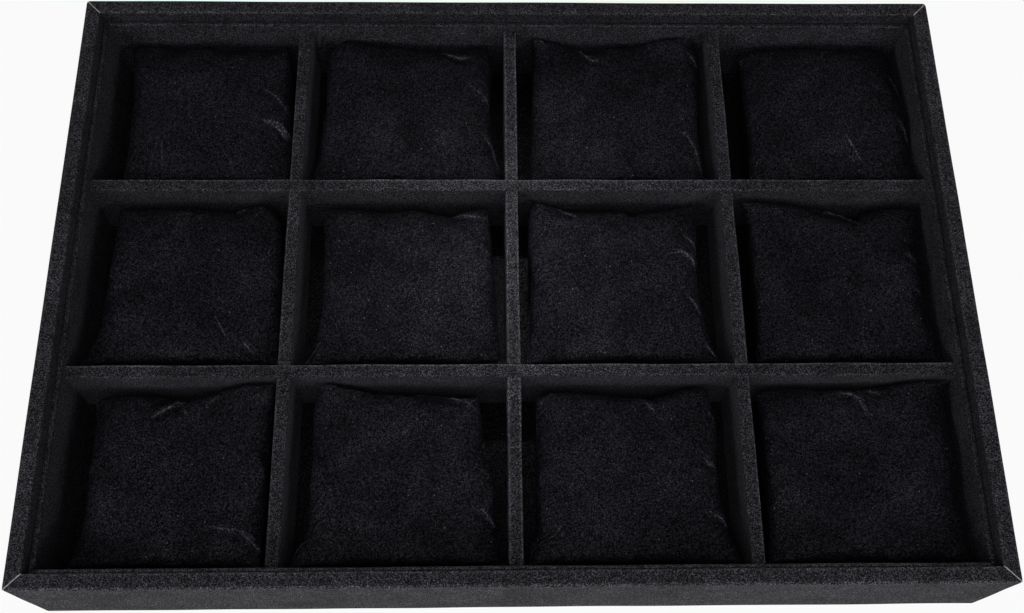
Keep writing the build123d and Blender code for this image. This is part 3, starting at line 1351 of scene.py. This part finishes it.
PILLOW_LIES = {
    (Row.BACK, 1): PillowLie(
        left=((82, 92), (99, 200), (95, 400), (60, 660), (40, 745)),
        back_left=((130, 78), (200, 82), (345, 97), (375, 108), (470, 110), (520, 121)),
        back_right=((600, 108), (690, 107), (770, 112), (838, 86), (872, 84)),
        right=((885, 200), (890, 480), (893, 560)),
        front=(-29.4, 38.1),
        folds=(
            Fold(((730, 455), (780, 470), (820, 500), (850, 540), (868, 562)), 1.3, 1.3, 1.0),
            Fold(((795, 460), (840, 495), (865, 525), (885, 552)), 1.1, 1.0, 0.9),
            Fold(((700, 285), (760, 310), (810, 345), (850, 400), (875, 445)), 1.4, 0.9, 0.6),
            Fold(((237, 555), (234, 705)), 1.4, 0.7, 0.6),
            Fold(((540, 600), (575, 650), (600, 720)), 1.3, 0.6, 0.4),
            Fold(((110, 590), (75, 660), (48, 735)), 1.2, 0.8, 0.8),
        ),
    ),
    (Row.BACK, 2): PillowLie(
        left=((1062, 100), (1058, 410), (1015, 650), (985, 742)),
        back_left=(
            (1085, 85), (1120, 75), (1152, 52), (1200, 62), (1260, 68), (1340, 90), (1600, 112),
            (1692, 124),
        ),
        back_right=((1720, 106), (1760, 93), (1810, 87), (1845, 96)),
        right=((1882, 140), (1888, 220), (1873, 400), (1902, 620), (1920, 680), (1940, 742)),
        front=(-38.1, 38.1),
        folds=(
            Fold(((1115, 355), (1080, 390), (1060, 425)), 1.4, 1.2, 1.0),
            Fold(((1600, 112), (1660, 128), (1725, 147), (1785, 135)), 1.6, 1.2, 0.8),
            Fold(((1740, 260), (1790, 300), (1850, 355), (1880, 420)), 1.5, 0.8, 0.4),
            Fold(((1710, 575), (1690, 650), (1650, 720)), 2.2, 0.7, 0.2),
            Fold(((1830, 520), (1890, 600), (1935, 720)), 1.5, 0.8, 0.5),
        ),
    ),
    (Row.BACK, 3): PillowLie(
        left=((115, 50), (112, 100), (95, 700)),
        back_left=((150, 50), (240, 68), (320, 92), (350, 112), (370, 119)),
        back_right=((460, 97), (540, 90), (620, 75), (740, 48), (800, 40), (845, 45)),
        right=((880, 85), (898, 140), (890, 400), (893, 470), (925, 690), (935, 708)),
        front=(-35.3, 37.4),
        folds=(
            Fold(((320, 92), (350, 118), (385, 148), (430, 155)), 1.6, 1.4, 1.0),
            Fold(((850, 120), (880, 160), (897, 200)), 1.4, 0.9, 0.7),
            Fold(((780, 480), (840, 510), (880, 570), (900, 650), (922, 705)), 1.6, 1.0, 0.7),
        ),
    ),
    (Row.BACK, 4): PillowLie(
        left=((1090, 125), (1135, 520), (1140, 700)),
        back_left=((1120, 108), (1200, 93), (1340, 95), (1482, 113)),
        back_right=((1700, 92), (1775, 99)),
        right=((1800, 130), (1850, 310), (1950, 708)),
        front=(-30.1, 38.1),
        folds=(
            Fold(((1585, 480), (1620, 540), (1660, 610), (1682, 642)), 1.2, 1.0, 0.9),
            Fold(((1600, 590), (1640, 632)), 1.1, 0.7, 0.6),
            Fold(((1482, 128), (1510, 115), (1555, 107)), 1.4, 0.9, 0.6),
            Fold(((1790, 220), (1830, 270), (1850, 320), (1862, 380)), 1.3, 0.8, 0.6),
            Fold(((1840, 440), (1870, 490), (1910, 570), (1940, 640)), 1.4, 0.9, 0.7),
            Fold(((1050, 190), (1080, 158), (1112, 140)), 1.3, 0.7, 0.3),
        ),
    ),
    (Row.MIDDLE, 1): PillowLie(
        left=((200, 60), (155, 380), (120, 530), (105, 580), (55, 655)),
        back_left=((250, 54), (350, 52), (640, 73), (655, 79)),
        back_right=((720, 50), (765, 41), (800, 50), (822, 62)),
        right=((845, 120), (848, 250), (838, 655)),
        front=(-36.9, 38.1),
        folds=(
            Fold(((580, 490), (600, 520), (625, 570)), 1.3, 1.2, 1.0),
            Fold(((685, 585), (710, 605), (740, 642)), 1.3, 1.2, 1.0),
            Fold(((235, 180), (200, 200), (182, 215)), 1.5, 0.8, 0.5),
            Fold(((195, 345), (170, 375), (150, 420)), 1.4, 0.9, 0.7),
            Fold(((655, 82), (690, 68), (722, 52)), 1.5, 0.9, 0.5),
        ),
    ),
    (Row.MIDDLE, 2): PillowLie(
        left=((1010, 64), (1020, 160), (1019, 400), (985, 605), (943, 675)),
        back_left=((1060, 57), (1110, 57), (1240, 72), (1400, 75), (1520, 92)),
        back_right=((1590, 65), (1640, 58), (1668, 60)),
        right=((1680, 120), (1728, 665)),
        front=(-36.2, 38.1),
        folds=(
            Fold(((1520, 92), (1570, 80), (1620, 86), (1672, 98)), 1.6, 1.1, 0.6),
            Fold(((1060, 110), (1035, 140), (1020, 165)), 1.4, 0.9, 0.5),
            Fold(((1590, 190), (1640, 220), (1690, 252)), 1.7, 0.7, 0.3),
            Fold(((1003, 590), (975, 630), (945, 672)), 1.3, 0.8, 0.8),
        ),
    ),
    (Row.MIDDLE, 3): PillowLie(
        left=((100, 40), (80, 62), (74, 110), (72, 225), (86, 330), (70, 655)),
        back_left=(
            (120, 35), (150, 45), (190, 55), (240, 75), (300, 70), (400, 74), (450, 80), (480, 91),
        ),
        back_right=((520, 77), (600, 68), (680, 52), (740, 43)),
        right=(
            (738, 80), (745, 170), (742, 290), (750, 380), (760, 440), (795, 570), (812, 620), (835, 660),
        ),
        front=(-37.5, 36.4),
        folds=(
            Fold(((190, 55), (230, 75), (268, 92)), 1.5, 1.2, 1.0),
            Fold(((145, 95), (140, 145), (110, 180), (80, 222)), 1.4, 1.0, 0.6),
            Fold(((210, 265), (160, 280), (120, 300), (92, 332)), 1.4, 1.4, 1.0),
            Fold(((178, 315), (130, 330), (105, 356)), 1.2, 1.0, 0.7),
            Fold(((615, 240), (690, 232), (725, 265), (742, 312)), 1.5, 1.3, 0.8),
            Fold(((690, 160), (730, 200), (745, 238)), 1.2, 0.9, 0.6),
            Fold(((705, 405), (735, 440), (765, 490)), 1.3, 0.9, 0.7),
            Fold(((775, 585), (800, 620), (835, 658)), 1.3, 0.9, 1.0),
        ),
    ),
    (Row.MIDDLE, 4): PillowLie(
        left=((932, 32), (950, 120), (985, 570), (985, 655)),
        back_left=((980, 29), (1040, 32), (1170, 48), (1200, 58), (1320, 82), (1385, 106)),
        back_right=((1400, 80), (1480, 57), (1560, 50), (1600, 52), (1630, 62)),
        right=((1625, 190), (1640, 400), (1680, 530), (1727, 645)),
        front=(-34.1, 38.1),
        folds=(
            Fold(((1200, 58), (1270, 72), (1340, 90), (1395, 125)), 1.7, 1.3, 0.9),
            Fold(((1575, 230), (1610, 265), (1630, 300)), 1.4, 0.8, 0.5),
            Fold(((1600, 375), (1640, 405), (1665, 465), (1690, 540), (1720, 600)), 1.4, 1.0, 0.9),
            Fold(((1415, 480), (1410, 560), (1425, 630)), 1.6, 0.7, 0.4),
            Fold(((1560, 570), (1540, 640)), 1.6, 0.6, 0.2),
        ),
    ),
    (Row.FRONT, 1): PillowLie(
        left=((150, 112), (148, 200), (105, 560), (85, 660), (48, 745)),
        back_left=((180, 103), (240, 97), (330, 95), (440, 110), (490, 111)),
        back_right=((620, 90), (650, 75), (700, 62), (740, 50), (866, 40)),
        right=((852, 160), (803, 740)),
        front=(-31.8, 36.2),
        folds=(
            Fold(((365, 185), (420, 155), (485, 118)), 1.5, 1.2, 1.0),
            Fold(((580, 150), (610, 120), (640, 95)), 1.4, 0.9, 0.5),
            Fold(((575, 618), (640, 628), (700, 630), (765, 648)), 1.5, 1.3, 0.8),
            Fold(((715, 635), (760, 675), (800, 718)), 1.4, 1.3, 1.0),
            Fold(((485, 120), (500, 160), (520, 190)), 1.5, 0.7, 0.3),
        ),
    ),
    (Row.FRONT, 2): PillowLie(
        left=(
            (1040, 55), (1030, 75), (1030, 100), (1015, 150), (1013, 350), (990, 640), (980, 675),
            (950, 705), (922, 755),
        ),
        back_left=((1080, 52), (1140, 60), (1230, 75), (1260, 90), (1330, 92), (1410, 106)),
        back_right=((1420, 98), (1440, 93), (1600, 106), (1672, 102)),
        right=(
            (1688, 200), (1694, 310), (1722, 355), (1736, 410), (1741, 580), (1748, 625), (1767, 672),
            (1797, 752),
        ),
        front=(-38.1, 38.1),
        folds=(
            Fold(((1065, 485), (1035, 530), (1005, 585)), 1.3, 1.2, 1.0),
            Fold(((1075, 590), (1035, 612), (1008, 652)), 1.4, 1.3, 0.9),
            Fold(((1005, 662), (960, 697), (930, 742)), 1.3, 0.8, 0.8),
            Fold(((1410, 108), (1425, 99), (1480, 94), (1560, 103), (1650, 130)), 1.5, 1.1, 0.8),
            Fold(((1410, 108), (1395, 140), (1380, 156)), 1.4, 0.8, 0.4),
            Fold(((1680, 545), (1715, 585), (1745, 630)), 1.3, 1.0, 1.0),
            Fold(((1690, 318), (1722, 355)), 1.3, 0.7, 0.4),
        ),
    ),
    (Row.FRONT, 3): PillowLie(
        left=((84, 108), (91, 640), (88, 680), (68, 712), (38, 757)),
        back_left=((120, 92), (160, 83), (200, 82), (500, 110), (540, 118)),
        back_right=((570, 100), (620, 88), (660, 72), (720, 62), (765, 62)),
        right=((803, 200), (806, 280), (801, 395), (816, 500), (856, 645), (903, 732)),
        front=(-38.1, 38.1),
        folds=(
            Fold(((130, 138), (105, 162), (88, 182)), 1.3, 1.1, 1.0),
            Fold(((190, 610), (160, 655), (110, 680), (70, 715), (42, 752)), 1.5, 1.4, 1.0),
            Fold(((750, 350), (775, 372), (800, 390)), 1.2, 1.0, 1.0),
            Fold(((755, 550), (790, 570), (830, 590), (855, 630), (875, 672)), 1.4, 1.1, 0.8),
            Fold(((515, 125), (540, 148), (560, 166)), 1.4, 1.0, 0.6),
            Fold(((765, 150), (800, 200)), 1.4, 0.7, 0.3),
        ),
    ),
    (Row.FRONT, 4): PillowLie(
        left=((968, 92), (1015, 560), (1020, 660), (1015, 745)),
        back_left=((1000, 72), (1090, 62), (1140, 63), (1200, 72), (1320, 70), (1380, 75)),
        back_right=((1420, 66), (1480, 57), (1560, 45), (1640, 38), (1690, 36), (1722, 43)),
        right=((1725, 100), (1738, 290), (1790, 620), (1800, 660), (1830, 720)),
        front=(-36.4, 38.1),
        folds=(
            Fold(((1290, 85), (1340, 92), (1372, 108), (1395, 150), (1430, 178)), 1.6, 1.2, 0.8),
            Fold(((1380, 72), (1420, 80), (1460, 97)), 1.4, 0.8, 0.4),
            Fold(((1730, 310), (1748, 350), (1765, 440), (1785, 560), (1800, 640)), 1.4, 0.8, 0.5),
            Fold(((1330, 735), (1420, 660)), 2.0, 0.6, 0.2),
        ),
    ),
}


class Panels:
    """Corner numbers of two square panels of cells that share their edge."""

    def __init__(self, cells: int) -> None:
        """Number the corners and list the faces.

        Args:
            cells: how many cells each panel has along one side.
        """
        count = cells + 1
        self.cells = cells
        self.top = np.arange(count * count).reshape(count, count)
        self.bottom = self.top.copy()
        inner = cells - 1
        self.bottom[1:-1, 1:-1] = count * count + np.arange(inner * inner).reshape(inner, inner)
        self.total = int(self.bottom.max()) + 1
        self.faces = []
        for panel, flipped in ((self.top, False), (self.bottom, True)):
            for i in range(cells):
                for j in range(cells):
                    corners = ((i, j), (i + 1, j), (i + 1, j + 1), (i, j + 1))
                    face = [int(panel[corner]) for corner in corners]
                    self.faces.append(face[::-1] if flipped else face)
        across, along = np.meshgrid(np.linspace(-1, 1, count), np.linspace(-1, 1, count), indexing="ij")
        self.u = np.zeros(self.total)
        self.v = np.zeros(self.total)
        for panel in (self.top, self.bottom):
            self.u[panel] = across
            self.v[panel] = along
        self.side = np.zeros(self.total)
        self.side[self.top[1:-1, 1:-1]] = 1.0
        self.side[self.bottom[1:-1, 1:-1]] = -1.0

    def to_edge(self, width: float, depth: float) -> np.ndarray:
        """How far each corner is from the sewn edge of a panel of a width and depth."""
        return np.minimum((1 - np.abs(self.u)) * width / 2, (1 - np.abs(self.v)) * depth / 2)

    def refined(self, points: np.ndarray, finer: "Panels") -> np.ndarray:
        """Points of a finer pair of panels on a smooth surface through this pair's points.

        Args:
            points: this pair's points, one row each.
            finer: a pair with twice as many cells along each side.

        Returns:
            The finer pair's points.
        """
        smooth = np.zeros((finer.total, points.shape[1]))
        for own, other in ((self.top, finer.top), (self.bottom, finer.bottom)):
            smooth[other] = between(between(points[own]).swapaxes(0, 1)).swapaxes(0, 1)
        return smooth


def between(rows: np.ndarray) -> np.ndarray:
    """Rows with a smooth one put in between every two.

    Args:
        rows: the rows.

    Returns:
        The rows and the new ones, in order.
    """
    padded = np.concatenate([2 * rows[:1] - rows[1:2], rows, 2 * rows[-1:] - rows[-2:-1]])
    middles = (9 * (padded[1:-2] + padded[2:-1]) - padded[:-3] - padded[3:]) / 16
    finer = np.zeros((2 * len(rows) - 1, *rows.shape[1:]))
    finer[::2] = rows
    finer[1::2] = middles
    return finer


CLOTH = {
    "quality": 6,
    "mass": 0.25,
    "tension_stiffness": 40,
    "compression_stiffness": 40,
    "shear_stiffness": 8,
    "bending_stiffness": 0.8,
    "use_pressure": True,
}


@dataclass
class PillowSewing:
    """Two velvet panels sewn together round their edges, stuffed and laid in each cell."""

    finish: bpy.types.Material
    view: Viewpoint
    panel_width: float = 85.0
    panel_depth: float = 80.0
    cells: int = 44
    sim_scale: float = 0.02
    frames: int = 24
    pressure: float = 6.0
    gather: float = 0.03
    gather_reach: float = 3.2
    top_rise: float = 5.6
    bottom_drop: float = 25.0
    fill: float = 0.7

    def __post_init__(self) -> None:
        """Number the corners of the cover as it is stuffed and as it is laid."""
        self.coarse = Panels(self.cells)
        self.fine = Panels(2 * self.cells)

    def cut(self, seed: int) -> np.ndarray:
        """Flat panels as cut, a little apart in their middles.

        Args:
            seed: number that fixes their unevenness.

        Returns:
            The corners in millimetres.
        """
        start_gap, unevenness = 1.2, 0.5
        side_shift, wavelength = 40, 16.0
        u, v, side = self.coarse.u, self.coarse.v, self.coarse.side
        x = u * self.panel_width / 2
        y = v * self.panel_depth / 2
        dome = (1 - u**2) * (1 - v**2)
        uneven = ripple(np.column_stack([x, y, side_shift * side]), wavelength, seed)
        z = side * start_gap * dome * (1 + unevenness * uneven)
        return np.column_stack([x, y, z])

    def gathers(self, flat: np.ndarray, seed: int) -> np.ndarray:
        """How much the thread gathers each corner of the panels.

        Args:
            flat: the corners in millimetres.
            seed: number that fixes their unevenness.

        Returns:
            Amounts from 0 to 1.
        """
        least, even, uneven = 0.05, 0.55, 0.45
        wavelength, first_seed = 13.0, 50
        pull = even + uneven * ripple(flat, wavelength, first_seed + seed)
        to_edge = self.coarse.to_edge(self.panel_width, self.panel_depth)
        return np.clip(pull, least, 1) * np.exp(-to_edge / self.gather_reach)

    def stuff(self, flats: list[np.ndarray]) -> list[np.ndarray]:
        """Blow up all the sewn covers at once by cloth simulation.

        Args:
            flats: the cut panels in millimetres.

        Returns:
            The stuffed covers in millimetres.
        """
        scene = bpy.context.scene
        covers = []
        for number, flat in enumerate(flats):
            mesh = bpy.data.meshes.new("sewn_cover")
            mesh.from_pydata((flat * self.sim_scale).tolist(), [], self.coarse.faces)
            cover = bpy.data.objects.new("sewn_cover", mesh)
            scene.collection.objects.link(cover)
            group = cover.vertex_groups.new(name="gather")
            for index, weight in enumerate(self.gathers(flat, number)):
                group.add([index], float(weight), "REPLACE")
            cloth = cover.modifiers.new("stuffing", "CLOTH")
            settings = cloth.settings
            for key, value in CLOTH.items():
                setattr(settings, key, value)
            settings.uniform_pressure_force = self.pressure
            settings.vertex_group_shrink = "gather"
            settings.shrink_max = self.gather
            settings.effector_weights.gravity = 0
            cloth.collision_settings.use_collision = False
            cloth.point_cache.frame_start = 1
            cloth.point_cache.frame_end = self.frames
            covers.append(cover)
        for number in range(1, self.frames + 1):
            scene.frame_set(number)
        depsgraph = bpy.context.evaluated_depsgraph_get()
        stuffed = []
        for cover in covers:
            mesh = cover.evaluated_get(depsgraph).data
            points = np.zeros(self.coarse.total * 3)
            mesh.vertices.foreach_get("co", points)
            stuffed.append(points.reshape(-1, 3) / self.sim_scale)
        for cover in covers:
            mesh = cover.data
            bpy.data.objects.remove(cover)
            bpy.data.meshes.remove(mesh)
        scene.frame_set(1)
        return stuffed

    def build(self) -> None:
        """Make the twelve pillows."""
        keys = list(PILLOW_LIES)
        flats = [self.cut(number) for number in range(len(keys))]
        stuffed = self.stuff(flats)
        for number, ((row, column), cover) in enumerate(zip(keys, stuffed)):
            node = f"{row.value}_pillow_{column}"
            lie = PILLOW_LIES[row, column]
            low, high = (corner / MM for corner in node_box(f"{node}_cover"))
            middle = (low[:2] + high[:2]) / 2
            part = ENLARGEMENTS[row][(column - 1) // 2]
            sight = CellSight(self.view, part, middle.round(2))
            edge = [to_tenths(run) for run in sight.runs(lie)]
            plan, height = self.lay(cover, edge, low[2], high[2])
            height, crease, glow = self.creased(plan, height, sight.folds(lie), number)
            points = np.column_stack([plan + middle, height])
            piece = make_piece(f"{node}_velvet", points * MM, self.fine.faces, self.finish)
            # Where the painted highlight of the creases and sewn edge lies, and how strong it is.
            add_attribute(piece, CREASE, crease)
            add_attribute(piece, PAINTED_HIGHLIGHT, glow)
            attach(piece, node)
            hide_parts(f"{node}_cover", f"{node}_filling")
            log.info("%s: %d faces", piece.name, len(piece.data.polygons))

    def seam(self, edge: list[tuple]) -> tuple[np.ndarray, np.ndarray]:
        """Where each corner on the sewn edge goes.

        Args:
            edge: the sewn edge's left, back left, back right and right runs.

        Returns:
            The corners' numbers, and their places and heights in millimetres.
        """
        top, last = self.coarse.top, self.cells
        left, back_left, back_right, right = edge
        marks = [distances(np.array(run))[-1] for run in (back_left, back_right)]
        notch = round(last * marks[0] / sum(marks))
        runs = (
            (top[0, ::-1], left),
            (top[last, ::-1], right),
            (top[: notch + 1, last], back_left),
            (top[notch:, last], back_right),
            (top[:, 0], (left[-1], right[-1])),
        )
        places = {}
        for numbers, run in runs:
            places.update(zip(numbers.tolist(), spread(run, len(numbers))))
        return np.array(list(places)), np.array(list(places.values()))

    def lay(self, cover: np.ndarray, edge: list[tuple], low: float, high: float) -> tuple:
        """Fit a stuffed cover to the way that it lies in its cell.

        Args:
            cover: its corners in millimetres, flat and centred.
            edge: the runs of its sewn edge.
            low: height of the room's floor.
            high: height that it may swell up to.

        Returns:
            The finer panels' places from the cell's middle, and their heights.
        """
        bottom_softness, top_softness = 0.8, 0.4
        numbers, targets = self.seam(edge)
        placed = thin_plate(cover[numbers, :2], targets, cover[:, :2])
        thick = cover[:, 2]
        rise = np.where(thick > 0, self.top_rise / thick.max(), -self.bottom_drop / thick.min())
        laid = np.column_stack([placed[:, :2], placed[:, 2] + thick * rise])
        laid = self.coarse.refined(laid, self.fine)
        height = soft_floor(laid[:, 2], low, bottom_softness)
        height = -soft_floor(-height, -high, top_softness)
        return laid[:, :2], np.maximum(height, low)

    def creased(self, plan: np.ndarray, height: np.ndarray, folds: list[Fold], seed: int) -> tuple:
        """Press the creases into a laid cover.

        Args:
            plan: the finer panels' places in millimetres from the cell's middle.
            height: their heights.
            folds: the pillow's creases.
            seed: number that fixes its unevenness.

        Returns:
            The new heights, and each corner's distance from the nearest line of painted highlight and how
            strong that painted highlight is.
        """
        # The sewn edge gets a faint painted sheen line, and each crease a painted highlight along its
        # line.
        seam_highlight, line_reach, seam_reach = 0.5, 3.0, 2.0
        even, uneven, highlight_wave, highlight_seed = 0.55, 0.45, 30.0, 90
        ripples = ((0.18, 11.0, 70), (0.35, 26.0, 50))
        to_edge = self.fine.to_edge(self.panel_width, self.panel_depth)
        above = np.clip(self.fine.side, 0, 1) * np.clip(to_edge / seam_reach, 0, 1)
        waves = ripple(np.column_stack([plan, height]), highlight_wave, highlight_seed + seed)
        crease = to_edge * np.where(self.fine.side < 0, -1, 1)
        glow = seam_highlight * np.clip(even + uneven * waves, 0, 1)
        for rise, wavelength, first_seed in ripples:
            wave = ripple(np.column_stack([plan, height]), wavelength, first_seed + seed)
            height = height + rise * above * wave
        for fold in folds:
            offset, fade = beside(plan, fold)
            height = height - above * fade * fold.depth * crease_section(offset / fold.width)
            nearer = (np.abs(offset) < np.abs(crease)) & (self.fine.side >= 0)
            crease = np.where(nearer, offset, crease)
            glow = np.where(nearer, fade * fold.glow, glow)
        return height, crease, np.where(np.abs(crease) < line_reach, glow, 0.0)


def distances(points: np.ndarray) -> np.ndarray:
    """How far along a run each of its points is, in plan."""
    return np.concatenate([[0.0], np.cumsum(np.linalg.norm(np.diff(points[:, :2], axis=0), axis=1))])


def spread(run: tuple, count: int) -> np.ndarray:
    """Points spaced evenly along a run.

    Args:
        run: the run's points.
        count: how many points to space.

    Returns:
        The points, one row each.
    """
    points = np.array(run, float)
    along = distances(points)
    marks = np.linspace(0, along[-1], count)
    return np.column_stack([np.interp(marks, along, points[:, axis]) for axis in range(3)])


def thin_plate(sources: np.ndarray, targets: np.ndarray, points: np.ndarray) -> np.ndarray:
    """Carry points smoothly to where a few anchors go.

    Args:
        sources: the anchors' places, two numbers each.
        targets: the values that the anchors take.
        points: places to work the values out at, two numbers each.

    Returns:
        The values at the points.
    """

    def kernel(a: np.ndarray, b: np.ndarray) -> np.ndarray:
        """Kernel of the plate's bending between two sets of places.

        Args:
            a: the first places.
            b: the second places.

        Returns:
            One number for each two of them.
        """
        tiny = 1e-9
        squared = ((a[:, None, :] - b[None, :, :]) ** 2).sum(axis=2)
        return 0.5 * squared * np.log(squared + tiny)

    count = len(sources)
    ramp = np.column_stack([np.ones(count), sources])
    system = np.zeros((count + 3, count + 3))
    system[:count, :count] = kernel(sources, sources)
    system[:count, count:] = ramp
    system[count:, :count] = ramp.T
    known = np.vstack([targets, np.zeros((3, targets.shape[1]))])
    weights = np.linalg.solve(system, known)
    along = np.column_stack([np.ones(len(points)), points])
    return kernel(points, sources) @ weights[:count] + along @ weights[count:]


def soft_floor(values: np.ndarray, floor: float, softness: float) -> np.ndarray:
    """Values that level out at a floor instead of going below it.

    Args:
        values: the values.
        floor: the lowest that they may be.
        softness: how gently they level out, in the same unit.

    Returns:
        The new values.
    """
    return floor + softness * np.logaddexp(0, (values - floor) / softness)


def crease_section(offset: np.ndarray) -> np.ndarray:
    """Section of a crease of depth and width 1: a valley beside its line, and a ridge beyond it."""
    shift, ridge = 0.8, 0.6
    return np.exp(-((offset + shift) ** 2)) - ridge * np.exp(-((offset - shift) ** 2))


def beside(plan: np.ndarray, fold: Fold) -> tuple[np.ndarray, np.ndarray]:
    """How far to the side of a crease each place is, and how strong the crease is there.

    Args:
        plan: the places in millimetres from the cell's middle.
        fold: the crease.

    Returns:
        Signed distances in millimetres, and strengths from 0 at the crease's ends to 1.
    """
    far_off = 1e3
    bluntness = 0.6
    run = np.array(fold.run)
    nearest = np.full(len(plan), far_off)
    fade = np.zeros(len(plan))
    lengths = np.linalg.norm(np.diff(run, axis=0), axis=1)
    done = 0.0
    for start, end, length in zip(run[:-1], run[1:], lengths):
        ahead = (end - start) / length
        share = np.clip((plan - start) @ ahead / length, 0, 1)
        apart = plan - (start + share[:, None] * (end - start))
        side = np.sign(ahead[0] * (plan - start)[:, 1] - ahead[1] * (plan - start)[:, 0])
        distance = np.linalg.norm(apart, axis=1)
        closer = distance < np.abs(nearest)
        along = (done + share * length) / lengths.sum()
        nearest = np.where(closer, distance * np.where(side == 0, 1, side), nearest)
        fade = np.where(closer, np.sin(math.pi * np.clip(along, 0.0, 1.0)) ** bluntness, fade)
        done += length
    return nearest, fade


def main() -> None:
    """Build the studio and every part of the tray, in order."""
    logging.basicConfig(level=logging.INFO, format="%(name)s: %(message)s")
    studio = Studio()
    studio.build()
    palette = Palette()
    WallWraps(palette.wall, palette.raw_edge).build()
    LinerFaces(palette.liner).build()
    DividerSleeves(palette.divider).build()
    PillowSewing(palette.pillow, studio.view).build()
    dress_nodes(palette)


if __name__ == "__main__":
    main()
